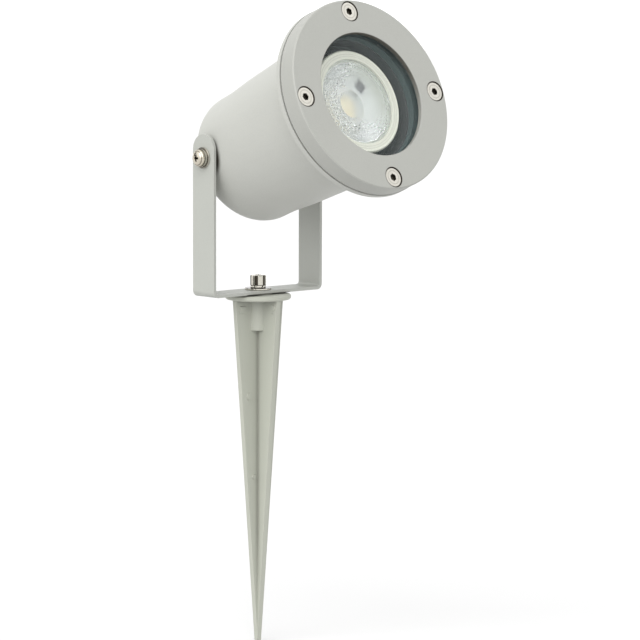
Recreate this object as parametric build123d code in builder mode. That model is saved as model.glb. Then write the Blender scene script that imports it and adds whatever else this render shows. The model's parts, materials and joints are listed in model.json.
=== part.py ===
from build123d import *
import os
from math import cos, radians, sin, sqrt

# Garden spotlight on a ground spike, in millimetres.
# Origin on the spike's axis at the soil line, +Z up, the head faces -Y and tilts about X.

# Ground spike
flange_radius = 15.8
flange_thickness = 2.4
flange_edge_chamfer = 0.6
pad_radius = 6.6
pad_height = 0.6
spike_length = 166.5
rib_thickness = 2.5
rib_top_half_width = 15.0
rib_tip_half_width = 1.0
tip_round = 0.8
boss_radius = 5.8
boss_length = 15.0
boss_edge_chamfer = 0.5

# Base screw and its washers
base_thread_radius = 2.0
base_thread_length = 14.0
base_head_radius = 3.8
base_head_height = 4.9
base_head_chamfer = 0.4
base_hex_across = 3.0
base_hex_depth = 2.6
base_washer_radius = 6.3
base_washer_thickness = 0.9
base_spring_radius = 3.7
base_spring_thickness = 1.3
spring_slit = 0.7
spring_slit_lean = 25.0

# U bracket
bracket_strip_width = 15.3
bracket_sheet = 1.5
bracket_inner_bend = 1.4
pivot_above_foot = 66.0
arm_end_rise = 3.5

# Pivot screws and washers
pivot_thread_radius = 2.0
pivot_thread_end_wall = 0.5
pivot_head_radius = 4.0
pivot_head_height = 2.8
pivot_head_chamfer = 1.5
pivot_cross_length = 4.4
pivot_cross_width = 1.0
pivot_cross_depth = 1.7
pivot_cross_draft = 10.0
pivot_washer_radius = 5.0
pivot_washer_thickness = 0.9
pivot_spring_radius = 4.3
pivot_spring_thickness = 1.3

# Head: stations along its axis are counted from the pivot, forwards positive
head_tilt = 22.0
housing_front = 75.7
housing_wall = 3.0
rim_overhang = 0.2
rim_thickness = 2.3
rim_root_chamfer = 1.0
cone_front_wall = 2.7
cone_taper = 2.8
shoulder_front = 22.4
shoulder_rear = 7.4
shoulder_round = 60.0
shoulder_root_round = 60.0
shoulder_step = 1.4
cup_draft = 0.4
cup_round = 10.8
pivot_boss_radius = 5.4
pivot_boss_height = 1.0

# Front ring and its screws
bezel_thickness = 8.95
bezel_edge_chamfer = 0.5
bezel_opening_margin = 4.8
bezel_lip = 2.2
bezel_lip_chamfer = 0.3
screw_land = 5.3
screw_edge_distance = 5.6
screw_count = 4
screw_thread_radius = 2.5
screw_head_radius = 4.45
screw_sink = 0.35
screw_recess_depth = 0.9
countersink_angle = 90.0
screw_hex_across = 3.2
screw_hex_depth = 2.2
gasket_thickness = 0.75
gasket_inset = 1.5

# Glass, seal and dark collar
glass_lap = 3.6
glass_thickness = 4.0
seal_wall = 1.5
seal_lap = 3.2
collar_bore_inset = 0.1
collar_depth = 8.0
collar_step_back = 0.4
collar_floor = 1.6
collar_lamp_gap = 0.6

# Lamp
lamp_rim_radius = 25.0
lamp_setback = 0.3
lamp_length = 46.2
lamp_rim_height = 4.0
lamp_waist_radius = 17.5
lamp_waist_height = 18.0
lamp_base_radius = 13.2
lamp_base_height = 12.0
lamp_rim_chamfer = 0.6
lamp_rim_width = 4.4
lens_recess = 0.9
lens_rim_height = 1.5
lens_step = 1.0
lens_cone_gap = 0.2
lens_foot_radius = 9.5
lens_foot_width = 2.8
lens_well_height = 5.2
board_depth = 14.5
board_thickness = 1.6
board_gap = 0.3
chip_side = 8.0
chip_thickness = 0.9
component_side = 4.0
component_height = 1.3
component_circle_radius = 13.4
component_count = 2
component_turn = 40.0
pin_spacing = 10.0
pin_shank_radius = 1.6
pin_head_radius = 2.5
pin_length = 7.2
pin_head_length = 2.8

# Lampholder and what carries it
holder_radius = 15.0
holder_height = 20.0
holder_slot_width = 5.8
holder_slot_depth = 9.0
holder_slot_length = 9.6
holder_screw_offset = 10.0
holder_screw_radius = 1.5
holder_screw_head_radius = 2.6
holder_screw_head_height = 2.0
bridge_length = 48.0
bridge_width = 15.0
bridge_thickness = 1.2
wiring_space = 18.3
post_offset = 19.0
post_radius = 4.0
post_thread_depth = 8.0
bridge_screw_radius = 1.5
bridge_screw_head_radius = 2.8
bridge_screw_head_height = 2.2

# Terminals and earth
terminal_length = 18.0
terminal_width = 8.5
terminal_height = 10.0
terminal_offset = 14.3
terminal_pitch = 9.0
terminal_screw_shift = 2.2
terminal_screw_radius = 1.4
terminal_screw_depth = 5.0
lead_radius = 1.1
earth_offset = 17.0
earth_post_radius = 4.0
earth_post_height = 5.0
earth_screw_radius = 2.0
earth_thread_depth = 4.0
earth_head_radius = 3.8
earth_head_height = 2.6

# Cable gland in the rear wall
gland_thread_radius = 7.6
gland_bore_radius = 5.2
gland_hex_across = 18.0
gland_hex_height = 4.5
gland_neck_height = 8.0
gland_neck_radius = 7.0
gland_boss_radius = 9.5
gland_boss_height = 3.0
seal_bore_radius = 4.0
nut_hex_height = 8.0
nut_dome_height = 5.5
nut_mouth_radius = 4.7
nut_dome_chamfer = 2.0

# Clearances
thread_clearance = 0.05
running_clearance = 0.08
hole_clearance = 0.2
seat_clearance = 0.1
slip_clearance = 0.3

# Radii worked out from the lamp outwards, to the front ring, the housing and the bracket's arms
lens_radius = lamp_rim_radius - lamp_rim_width
board_radius = lens_radius - lens_step - board_gap
collar_hole_radius = lamp_rim_radius + collar_lamp_gap
bezel_opening_radius = lamp_rim_radius + bezel_opening_margin
glass_radius = bezel_opening_radius + glass_lap
seal_outer_radius = glass_radius + seat_clearance + seal_wall
seal_inner_radius = glass_radius - seal_lap
bezel_recess_radius = seal_outer_radius + seat_clearance
screw_circle_radius = bezel_recess_radius + screw_land
bezel_radius = screw_circle_radius + screw_edge_distance
rim_radius = bezel_radius + rim_overhang
collar_bore_radius = glass_radius - collar_bore_inset
collar_inner_radius = bezel_opening_radius - collar_step_back
cone_front_radius = collar_bore_radius + cone_front_wall
cone_rear_radius = cone_front_radius - cone_taper
cup_radius = cone_rear_radius - shoulder_step
inner_cup_radius = cup_radius - housing_wall
arm_inner_face = cup_radius + pivot_boss_height
bracket_half_width = arm_inner_face + bracket_sheet
pivot_thread_depth = arm_inner_face - inner_cup_radius - pivot_thread_end_wall

# Stations worked out along the head's axis, from the front to the rear
rim_rear = housing_front - rim_thickness
bezel_rear = housing_front + gasket_thickness
bezel_front = bezel_rear + bezel_thickness
lip_rear = bezel_front - bezel_lip
glass_rear = lip_rear - glass_thickness
collar_seat = housing_front - collar_depth
lamp_face = housing_front - lamp_setback
board_rear = lamp_face - board_depth
board_front = board_rear + board_thickness
lamp_foot = lamp_face - lamp_length
holder_front = lamp_foot
holder_rear = holder_front - holder_height
bridge_rear = holder_rear - bridge_thickness
rear_floor = bridge_rear - wiring_space
housing_rear = rear_floor - housing_wall

# Heights worked out up the spike's axis
foot_underside = flange_thickness + pad_height
foot_top = foot_underside + bracket_sheet
pivot_height = foot_underside + pivot_above_foot

# Working planes of the head: across its axis, and through its axis with radius as local x
pivot = Vector(0, 0, pivot_height)
forward = Vector(0, -cos(radians(head_tilt)), sin(radians(head_tilt)))
upward = Vector(0, sin(radians(head_tilt)), cos(radians(head_tilt)))
head = Plane(origin=pivot, x_dir=(1, 0, 0), z_dir=forward)
section = Plane(origin=pivot, x_dir=(1, 0, 0), z_dir=-upward)
head_axis = Axis(pivot, forward)
pivot_plane = Plane(origin=pivot, x_dir=(0, 1, 0), z_dir=(1, 0, 0))


def cone_radius_at(station):
    """Outer radius of the housing's tapered front at a station along the head's axis."""
    share = (station - shoulder_front) / (rim_rear - shoulder_front)
    return cone_rear_radius + share * (cone_front_radius - cone_rear_radius)


def hexagon(across):
    """Circumscribed radius of a hexagon of a given size across its flats."""
    return across / sqrt(3)


def finish(piece, label):
    """Label a finished piece and write it to its own file."""
    piece.label = label
    export_step(piece, f"parts/{label}.step")


os.makedirs("parts", exist_ok=True)

# Ground spike: flange with a raised pad, screw boss and two crossed tapering ribs
base_head_rest = foot_top + base_washer_thickness + base_spring_thickness
base_thread_end = base_head_rest - base_thread_length
with BuildPart() as ground_spike:
    with BuildSketch(Plane.XY):
        Circle(flange_radius)
    extrude(amount=flange_thickness)
    chamfer(edges().filter_by(GeomType.CIRCLE), length=flange_edge_chamfer)
    with BuildSketch(Plane.XY.offset(flange_thickness)):
        Circle(pad_radius)
    extrude(amount=pad_height)
    with BuildSketch(Plane.XY):
        Circle(boss_radius)
    extrude(amount=-boss_length)
    chamfer(edges().filter_by(GeomType.CIRCLE).sort_by(Axis.Z)[0], length=boss_edge_chamfer)
    for rib_plane in (Plane.XZ, Plane.YZ):
        with BuildSketch(rib_plane):
            with BuildLine():
                Polyline(
                    (-rib_top_half_width, 0),
                    (-rib_tip_half_width, -spike_length),
                    (rib_tip_half_width, -spike_length),
                    (rib_top_half_width, 0),
                    close=True,
                )
            make_face()
            fillet(vertices().group_by(Axis.Y)[0], radius=tip_round)
        extrude(amount=rib_thickness / 2, both=True)
    with Locations((0, 0, foot_underside)):
        Hole(base_thread_radius + thread_clearance, depth=foot_underside - base_thread_end + slip_clearance)
finish(ground_spike.part, "ground_spike")

# Flat washer on the bracket's foot
with BuildPart() as base_flat_washer:
    with BuildSketch(Plane.XY.offset(foot_top)):
        Circle(base_washer_radius)
        Circle(base_thread_radius + hole_clearance, mode=Mode.SUBTRACT)
    extrude(amount=base_washer_thickness)
finish(base_flat_washer.part, "base_flat_washer")

# Split spring washer above it, with a leaning slit
with BuildPart() as base_spring_washer:
    with BuildSketch(Plane.XY.offset(foot_top + base_washer_thickness)):
        Circle(base_spring_radius)
        Circle(base_thread_radius + hole_clearance, mode=Mode.SUBTRACT)
    extrude(amount=base_spring_thickness)
    with Locations(Location((0, -base_spring_radius, base_head_rest), (0, spring_slit_lean, 0))):
        Box(spring_slit, 2 * base_spring_radius, 4 * base_spring_thickness, mode=Mode.SUBTRACT)
finish(base_spring_washer.part, "base_spring_washer")

# Socket-head screw that holds the bracket to the spike
with BuildPart() as base_bolt:
    with BuildSketch(Plane.XY.offset(base_head_rest)):
        Circle(base_head_radius)
    extrude(amount=base_head_height)
    chamfer(edges().filter_by(GeomType.CIRCLE).sort_by(Axis.Z)[-1], length=base_head_chamfer)
    with BuildSketch(Plane.XY.offset(base_head_rest)):
        Circle(base_thread_radius)
    extrude(amount=-base_thread_length)
    with BuildSketch(Plane.XY.offset(base_head_rest + base_head_height)):
        RegularPolygon(hexagon(base_hex_across), 6)
    extrude(amount=-base_hex_depth, mode=Mode.SUBTRACT)
finish(base_bolt.part, "base_bolt")

# U bracket: strip bent up at both ends, arm ends fully rounded
arm_end_radius = bracket_strip_width / 2
arm_end_centre = pivot_height + arm_end_rise
arm_top = arm_end_centre + arm_end_radius
with BuildPart() as u_bracket:
    with BuildSketch(Plane.XZ):
        with Locations((0, foot_underside)):
            Rectangle(2 * bracket_half_width, arm_top - foot_underside, align=(Align.CENTER, Align.MIN))
        fillet(vertices().group_by(Axis.Y)[0], radius=bracket_inner_bend + bracket_sheet)
        with BuildSketch(mode=Mode.SUBTRACT):
            with Locations((0, foot_top)):
                Rectangle(2 * arm_inner_face, arm_top - foot_top, align=(Align.CENTER, Align.MIN))
            fillet(vertices().group_by(Axis.Y)[0], radius=bracket_inner_bend)
    extrude(amount=bracket_strip_width / 2, both=True)
    with BuildSketch(Plane.YZ):
        with Locations((0, foot_underside)):
            Rectangle(bracket_strip_width, arm_end_centre - foot_underside, align=(Align.CENTER, Align.MIN))
        with Locations((0, arm_end_centre)):
            Circle(arm_end_radius)
    extrude(amount=bracket_half_width, both=True, mode=Mode.INTERSECT)
    with BuildSketch(pivot_plane):
        Circle(pivot_thread_radius + running_clearance)
    extrude(amount=bracket_half_width, both=True, mode=Mode.SUBTRACT)
    with Locations((0, 0, foot_top)):
        Hole(base_thread_radius + running_clearance, depth=bracket_sheet)
finish(u_bracket.part, "u_bracket")

# Housing: tapered front, soft shoulder, rounded rear cup, side bosses, posts inside for what it carries
inner_seat_radius = cone_radius_at(collar_seat) - housing_wall
inner_corner_chamfer = cup_round - housing_wall
gland_floor = rear_floor + gland_boss_height
earth_top = rear_floor + earth_post_height
with BuildPart() as lamp_housing:
    with BuildSketch(section):
        with BuildLine():
            Polyline(
                (0, housing_rear),
                (cup_radius - cup_draft, housing_rear),
                (cup_radius, shoulder_rear),
                (cone_rear_radius, shoulder_front),
                (cone_front_radius, rim_rear),
                (rim_radius, rim_rear),
                (rim_radius, housing_front),
                (0, housing_front),
                close=True,
            )
        make_face()
        fillet(vertices().sort_by_distance((cup_radius - cup_draft, housing_rear))[0], radius=cup_round)
        chamfer(vertices().sort_by_distance((cone_front_radius, rim_rear))[0], length=rim_root_chamfer)
        fillet(vertices().sort_by_distance((cup_radius, shoulder_rear))[0], radius=shoulder_root_round)
        fillet(vertices().sort_by_distance((cone_rear_radius, shoulder_front))[0], radius=shoulder_round)
    revolve(axis=head_axis)
    with BuildSketch(pivot_plane):
        Circle(pivot_boss_radius)
    extrude(amount=arm_inner_face, both=True)
    with BuildSketch(section):
        with BuildLine():
            Polyline(
                (0, rear_floor),
                (inner_cup_radius, rear_floor),
                (inner_cup_radius, shoulder_rear),
                (cone_rear_radius - housing_wall, shoulder_front),
                (inner_seat_radius, collar_seat),
                (collar_bore_radius, collar_seat),
                (collar_bore_radius, housing_front),
                (0, housing_front),
                close=True,
            )
        make_face()
        chamfer(vertices().sort_by_distance((inner_cup_radius, rear_floor))[0], length=inner_corner_chamfer)
    revolve(axis=head_axis, mode=Mode.SUBTRACT)
    for side in (-1, 1):
        with BuildSketch(pivot_plane.offset(side * arm_inner_face)):
            Circle(pivot_thread_radius + thread_clearance)
        extrude(amount=-side * pivot_thread_depth, mode=Mode.SUBTRACT)
    with BuildSketch(head.offset(rear_floor)):
        with Locations((-post_offset, 0), (post_offset, 0)):
            Circle(post_radius)
    extrude(amount=bridge_rear - rear_floor)
    with BuildSketch(head.offset(rear_floor)):
        with Locations((0, -earth_offset)):
            Circle(earth_post_radius)
    extrude(amount=earth_post_height)
    with BuildSketch(head.offset(rear_floor)):
        Circle(gland_boss_radius)
    extrude(amount=gland_boss_height)
    with Locations(head.offset(bridge_rear)):
        with Locations((-post_offset, 0), (post_offset, 0)):
            Hole(bridge_screw_radius + thread_clearance, depth=post_thread_depth)
    with Locations(head.offset(earth_top)):
        with Locations((0, -earth_offset)):
            Hole(earth_screw_radius + thread_clearance, depth=earth_thread_depth)
    with Locations(head.offset(gland_floor)):
        Hole(gland_thread_radius + thread_clearance, depth=gland_floor - housing_rear)
    with Locations(head.offset(housing_front)):
        with PolarLocations(screw_circle_radius, screw_count):
            Hole(screw_thread_radius + thread_clearance, depth=rim_thickness)
finish(lamp_housing.part, "lamp_housing")

# Flat gasket between the housing's rim and the front ring
with BuildPart() as flange_gasket:
    with BuildSketch(head.offset(housing_front)):
        Circle(bezel_radius - gasket_inset)
        Circle(bezel_recess_radius, mode=Mode.SUBTRACT)
        with PolarLocations(screw_circle_radius, screw_count):
            Circle(screw_thread_radius + hole_clearance, mode=Mode.SUBTRACT)
    extrude(amount=gasket_thickness)
finish(flange_gasket.part, "flange_gasket")

# Front ring: thick rim, inner lip over the glass, four countersunk holes with a small gap round each head
countersink_radius = screw_head_radius + screw_sink + thread_clearance
with BuildPart() as front_bezel:
    with BuildSketch(section):
        with BuildLine():
            Polyline(
                (bezel_recess_radius, bezel_rear),
                (bezel_radius, bezel_rear),
                (bezel_radius, bezel_front),
                (bezel_opening_radius, bezel_front),
                (bezel_opening_radius, lip_rear),
                (bezel_recess_radius, lip_rear),
                close=True,
            )
        make_face()
        chamfer(vertices().sort_by_distance((bezel_radius, bezel_front))[0], length=bezel_edge_chamfer)
        chamfer(vertices().sort_by_distance((bezel_opening_radius, bezel_front))[0], length=bezel_lip_chamfer)
    revolve(axis=head_axis)
    with Locations(head.offset(bezel_front)):
        with PolarLocations(screw_circle_radius, screw_count):
            CounterSinkHole(
                screw_thread_radius + hole_clearance,
                countersink_radius,
                depth=bezel_thickness,
                counter_sink_angle=countersink_angle,
            )
    with BuildSketch(head.offset(bezel_front)):
        with PolarLocations(screw_circle_radius, screw_count):
            Circle(countersink_radius)
    extrude(amount=-screw_recess_depth, mode=Mode.SUBTRACT)
finish(front_bezel.part, "front_bezel")

# Countersunk hex-socket screws of the front ring
screw_top = bezel_front - screw_sink
screw_cone = (screw_head_radius - screw_thread_radius) / sin(radians(countersink_angle / 2))
screw_cone_height = screw_cone * cos(radians(countersink_angle / 2))
with BuildPart(head) as bezel_screws:
    with Locations((0, 0, screw_top)):
        with PolarLocations(screw_circle_radius, screw_count):
            Cone(
                screw_thread_radius,
                screw_head_radius,
                screw_cone_height,
                align=(Align.CENTER, Align.CENTER, Align.MAX),
            )
            Cylinder(
                screw_thread_radius,
                screw_top - rim_rear,
                align=(Align.CENTER, Align.CENTER, Align.MAX),
            )
    with BuildSketch(head.offset(screw_top)):
        with PolarLocations(screw_circle_radius, screw_count):
            RegularPolygon(hexagon(screw_hex_across), 6)
    extrude(amount=-screw_hex_depth, mode=Mode.SUBTRACT)
finish(bezel_screws.part, "bezel_screws")

# Front glass behind the lip of the ring
with BuildPart() as front_glass:
    with BuildSketch(head.offset(glass_rear)):
        Circle(glass_radius)
    extrude(amount=glass_thickness)
finish(front_glass.part, "front_glass")

# Rubber seal round the glass and under it
with BuildPart() as glass_seal:
    with BuildSketch(section):
        with BuildLine():
            Polyline(
                (seal_inner_radius, housing_front),
                (seal_outer_radius, housing_front),
                (seal_outer_radius, lip_rear),
                (glass_radius + seat_clearance, lip_rear),
                (glass_radius + seat_clearance, glass_rear),
                (seal_inner_radius, glass_rear),
                close=True,
            )
        make_face()
    revolve(axis=head_axis)
finish(glass_seal.part, "glass_seal")

# Dark collar that fills the gap round the lamp
with BuildPart() as glare_collar:
    with BuildSketch(section):
        with BuildLine():
            Polyline(
                (collar_hole_radius, collar_seat),
                (collar_bore_radius - seat_clearance, collar_seat),
                (collar_bore_radius - seat_clearance, housing_front),
                (collar_inner_radius, housing_front),
                (collar_inner_radius, collar_seat + collar_floor),
                (collar_hole_radius, collar_seat + collar_floor),
                close=True,
            )
        make_face()
    revolve(axis=head_axis)
finish(glare_collar.part, "glare_collar")

# Lamp body: rim, tapered shell, waist and round base, hollow in front for board and lens
lens_front = lamp_face - lens_recess
lens_seat = lens_front - lens_rim_height
lamp_shoulder = lamp_face - lamp_rim_height
with BuildPart() as lamp_shell:
    with BuildSketch(section):
        with BuildLine():
            Polyline(
                (0, lamp_foot),
                (lamp_base_radius, lamp_foot),
                (lamp_base_radius, lamp_foot + lamp_base_height),
                (lamp_waist_radius, lamp_shoulder - lamp_waist_height),
                (lamp_rim_radius, lamp_shoulder),
                (lamp_rim_radius, lamp_face),
                (lens_radius + seat_clearance, lamp_face),
                (lens_radius + seat_clearance, lens_seat),
                (lens_radius - lens_step, lens_seat),
                (lens_radius - lens_step, board_rear),
                (0, board_rear),
                close=True,
            )
        make_face()
        chamfer(vertices().sort_by_distance((lamp_rim_radius, lamp_face))[0], length=lamp_rim_chamfer)
    revolve(axis=head_axis)
finish(lamp_shell.part, "lamp_shell")

# Round board with the light source and small parts
with BuildPart() as led_board:
    with BuildSketch(head.offset(board_rear)):
        Circle(board_radius)
    extrude(amount=board_thickness)
finish(led_board.part, "led_board")

with BuildPart() as led_chip:
    with BuildSketch(head.offset(board_front)):
        Rectangle(chip_side, chip_side)
    extrude(amount=chip_thickness)
finish(led_chip.part, "led_chip")

with BuildPart() as board_components:
    with BuildSketch(head.offset(board_front)):
        with PolarLocations(component_circle_radius, component_count, start_angle=component_turn):
            Rectangle(component_side, component_side)
    extrude(amount=component_height)
finish(board_components.part, "board_components")

# Clear lens: flat front, tapering body, well over the light source
lens_well_radius = lens_foot_radius - lens_foot_width
with BuildPart() as lamp_lens:
    with BuildSketch(section):
        with BuildLine():
            Polyline(
                (0, lens_front),
                (lens_radius, lens_front),
                (lens_radius, lens_seat),
                (lens_radius - lens_step - lens_cone_gap, lens_seat),
                (lens_foot_radius, board_front),
                (lens_well_radius, board_front),
                (lens_well_radius, board_front + lens_well_height),
                (0, board_front + lens_well_height),
                close=True,
            )
        make_face()
    revolve(axis=head_axis)
finish(lamp_lens.part, "lamp_lens")

# Contact pins under the lamp's base
pin_neck = pin_length - pin_head_length
with BuildPart(head) as lamp_pins:
    with Locations((0, pin_spacing / 2, lamp_foot), (0, -pin_spacing / 2, lamp_foot)):
        Cylinder(pin_shank_radius, pin_neck, align=(Align.CENTER, Align.CENTER, Align.MAX))
    with Locations((0, pin_spacing / 2, lamp_foot - pin_neck), (0, -pin_spacing / 2, lamp_foot - pin_neck)):
        Cylinder(pin_head_radius, pin_head_length, align=(Align.CENTER, Align.CENTER, Align.MAX))
finish(lamp_pins.part, "lamp_pins")

# Ceramic holder with a slot for each pin
with BuildPart() as lampholder:
    with BuildSketch(head.offset(holder_rear)):
        Circle(holder_radius)
    extrude(amount=holder_height)
    with BuildSketch(head.offset(holder_front)):
        with PolarLocations(pin_spacing / 2, 2, start_angle=90):
            SlotOverall(holder_slot_length, holder_slot_width, rotation=90)
    extrude(amount=-holder_slot_depth, mode=Mode.SUBTRACT)
    with Locations(head.offset(holder_front)):
        with Locations((-holder_screw_offset, 0), (holder_screw_offset, 0)):
            CounterBoreHole(
                holder_screw_radius + hole_clearance,
                holder_screw_head_radius + hole_clearance,
                holder_screw_head_height + slip_clearance,
                depth=holder_height,
            )
finish(lampholder.part, "lampholder")

# Steel plate across the housing that carries the holder
with BuildPart() as holder_bridge:
    with BuildSketch(head.offset(bridge_rear)):
        SlotOverall(bridge_length, bridge_width)
        with Locations((-post_offset, 0), (post_offset, 0)):
            Circle(bridge_screw_radius + hole_clearance, mode=Mode.SUBTRACT)
        with Locations((-holder_screw_offset, 0), (holder_screw_offset, 0)):
            Circle(holder_screw_radius + thread_clearance, mode=Mode.SUBTRACT)
    extrude(amount=bridge_thickness)
finish(holder_bridge.part, "holder_bridge")

holder_head_rest = holder_front - holder_screw_head_height - slip_clearance
with BuildPart(head) as holder_screws:
    with Locations((-holder_screw_offset, 0, holder_head_rest), (holder_screw_offset, 0, holder_head_rest)):
        Cylinder(
            holder_screw_head_radius,
            holder_screw_head_height,
            align=(Align.CENTER, Align.CENTER, Align.MIN),
        )
        Cylinder(
            holder_screw_radius,
            holder_head_rest - bridge_rear,
            align=(Align.CENTER, Align.CENTER, Align.MAX),
        )
finish(holder_screws.part, "holder_screws")

with BuildPart(head) as bridge_screws:
    with Locations((-post_offset, 0, holder_rear), (post_offset, 0, holder_rear)):
        Cylinder(
            bridge_screw_head_radius,
            bridge_screw_head_height,
            align=(Align.CENTER, Align.CENTER, Align.MIN),
        )
        Cylinder(
            bridge_screw_radius,
            bridge_thickness + post_thread_depth - slip_clearance,
            align=(Align.CENTER, Align.CENTER, Align.MAX),
        )
finish(bridge_screws.part, "bridge_screws")

# Terminal block on the rear wall, its clamping screws, and the leads up to the holder
terminal_top = rear_floor + terminal_height
with BuildPart() as terminal_block:
    with BuildSketch(head.offset(rear_floor)):
        with Locations((0, terminal_offset)):
            Rectangle(terminal_length, terminal_width)
    extrude(amount=terminal_height)
    with Locations(head.offset(terminal_top)):
        with Locations((0, terminal_offset + terminal_screw_shift)):
            with GridLocations(terminal_pitch, 0, 2, 1):
                Hole(terminal_screw_radius + thread_clearance, depth=terminal_screw_depth)
finish(terminal_block.part, "terminal_block")

with BuildPart() as terminal_screws:
    with BuildSketch(head.offset(terminal_top)):
        with Locations((0, terminal_offset + terminal_screw_shift)):
            with GridLocations(terminal_pitch, 0, 2, 1):
                Circle(terminal_screw_radius)
    extrude(amount=-terminal_screw_depth)
finish(terminal_screws.part, "terminal_screws")

with BuildPart() as holder_leads:
    with BuildSketch(head.offset(terminal_top)):
        with Locations((0, terminal_offset - terminal_screw_shift)):
            with GridLocations(terminal_pitch, 0, 2, 1):
                Circle(lead_radius)
    extrude(amount=holder_rear - terminal_top)
finish(holder_leads.part, "holder_leads")

# Earth screw on its post
with BuildPart(head) as earth_screw:
    with Locations((0, -earth_offset, earth_top)):
        Cylinder(earth_head_radius, earth_head_height, align=(Align.CENTER, Align.CENTER, Align.MIN))
        Cylinder(
            earth_screw_radius,
            earth_thread_depth - slip_clearance,
            align=(Align.CENTER, Align.CENTER, Align.MAX),
        )
finish(earth_screw.part, "earth_screw")

# Cable gland: threaded body, rubber sleeve and domed nut, behind the housing
gland_hex_rear = housing_rear - gland_hex_height
gland_neck_rear = gland_hex_rear - gland_neck_height
nut_front = gland_hex_rear - slip_clearance
nut_shoulder = nut_front - nut_hex_height
nut_rear = nut_shoulder - nut_dome_height
sleeve_radius = gland_bore_radius - seat_clearance
with BuildPart() as cable_gland:
    with BuildSketch(head.offset(gland_hex_rear)):
        RegularPolygon(hexagon(gland_hex_across), 6)
    extrude(amount=gland_hex_height)
    with BuildSketch(head.offset(housing_rear)):
        Circle(gland_thread_radius)
    extrude(amount=gland_floor - housing_rear)
    with BuildSketch(head.offset(gland_hex_rear)):
        Circle(gland_neck_radius)
    extrude(amount=-gland_neck_height)
    with Locations(head.offset(gland_floor)):
        Hole(gland_bore_radius, depth=gland_floor - gland_neck_rear)
finish(cable_gland.part, "cable_gland")

with BuildPart() as gland_seal:
    with BuildSketch(head.offset(gland_hex_rear)):
        Circle(sleeve_radius)
        Circle(seal_bore_radius, mode=Mode.SUBTRACT)
    extrude(amount=-gland_neck_height)
finish(gland_seal.part, "gland_seal")

with BuildPart() as gland_nut:
    with BuildSketch(head.offset(nut_front)):
        RegularPolygon(hexagon(gland_hex_across), 6)
    extrude(amount=-nut_hex_height)
    with BuildSketch(head.offset(nut_shoulder)):
        Circle(gland_hex_across / 2)
    extrude(amount=-nut_dome_height)
    chamfer(edges().filter_by(GeomType.CIRCLE).sort_by(head_axis)[0], length=nut_dome_chamfer)
    with Locations(head.offset(nut_front)):
        CounterBoreHole(
            nut_mouth_radius,
            gland_neck_radius + thread_clearance,
            nut_front - gland_neck_rear + slip_clearance,
            depth=nut_hex_height + nut_dome_height,
        )
finish(gland_nut.part, "gland_nut")

# Pivot hardware on the left arm, mirrored to the right one
left_arm = Plane(origin=pivot - Vector(bracket_half_width, 0, 0), x_dir=(0, -1, 0), z_dir=(-1, 0, 0))
pivot_head_rest = pivot_washer_thickness + pivot_spring_thickness
pivot_shank = pivot_head_rest + bracket_sheet + pivot_thread_depth - slip_clearance
with BuildPart() as pivot_flat_washers:
    with BuildSketch(left_arm):
        Circle(pivot_washer_radius)
        Circle(pivot_thread_radius + hole_clearance, mode=Mode.SUBTRACT)
    extrude(amount=pivot_washer_thickness)
    mirror(about=Plane.YZ)
finish(pivot_flat_washers.part, "pivot_flat_washers")

with BuildPart() as pivot_spring_washers:
    with BuildSketch(left_arm.offset(pivot_washer_thickness)):
        Circle(pivot_spring_radius)
        Circle(pivot_thread_radius + hole_clearance, mode=Mode.SUBTRACT)
    extrude(amount=pivot_spring_thickness)
    with Locations(left_arm.offset(pivot_head_rest)):
        with Locations(Location((0, pivot_spring_radius, 0), (0, spring_slit_lean, 0))):
            Box(spring_slit, 2 * pivot_spring_radius, 4 * pivot_spring_thickness, mode=Mode.SUBTRACT)
    mirror(about=Plane.YZ)
finish(pivot_spring_washers.part, "pivot_spring_washers")

with BuildPart() as pivot_screws:
    with BuildSketch(left_arm.offset(pivot_head_rest)):
        Circle(pivot_head_radius)
    extrude(amount=pivot_head_height)
    chamfer(edges().filter_by(GeomType.CIRCLE).sort_by(Axis.X)[0], length=pivot_head_chamfer)
    with BuildSketch(left_arm.offset(pivot_head_rest)):
        Circle(pivot_thread_radius)
    extrude(amount=-pivot_shank)
    with BuildSketch(left_arm.offset(pivot_head_rest + pivot_head_height)):
        Rectangle(pivot_cross_length, pivot_cross_width)
        Rectangle(pivot_cross_width, pivot_cross_length)
    extrude(amount=-pivot_cross_depth, taper=pivot_cross_draft, mode=Mode.SUBTRACT)
    mirror(about=Plane.YZ)
finish(pivot_screws.part, "pivot_screws")
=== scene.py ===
import json
from math import cos, hypot, radians, sin, tau

import bmesh
import bpy
from mathutils import Matrix, Vector

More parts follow.
